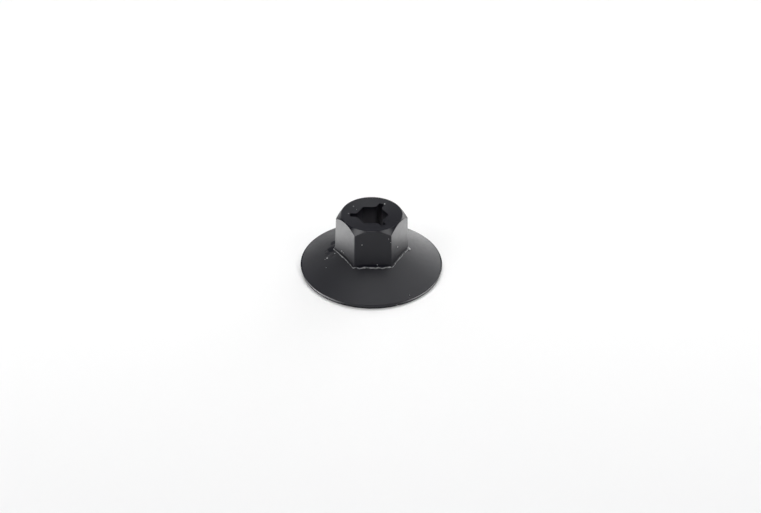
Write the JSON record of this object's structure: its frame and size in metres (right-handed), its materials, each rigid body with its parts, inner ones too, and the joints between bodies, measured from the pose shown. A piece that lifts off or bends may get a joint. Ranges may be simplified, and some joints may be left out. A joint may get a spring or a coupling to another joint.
{
  "type": "plastic flange nut",
  "caption": "Hexagon nut moulded in black plastic with a wide dished flange; its hexagonal bore, slotted at three corners, grips a stud to hold a panel.",
  "frame": {"origin": "axis of the bore, on the plane that the rim of the flange rests on", "axes": "+Z along the bore from the flange to the top face of the hexagon; +X through a corner of the hexagon; -Y square to one flat"},
  "size_m": [0.0224, 0.0224, 0.01],
  "materials": {
    "black_plastic": "satin moulded plastic"
  },
  "bodies": {
    "root": {"flange_nut": "black_plastic"}
  },
  "joints": []
}
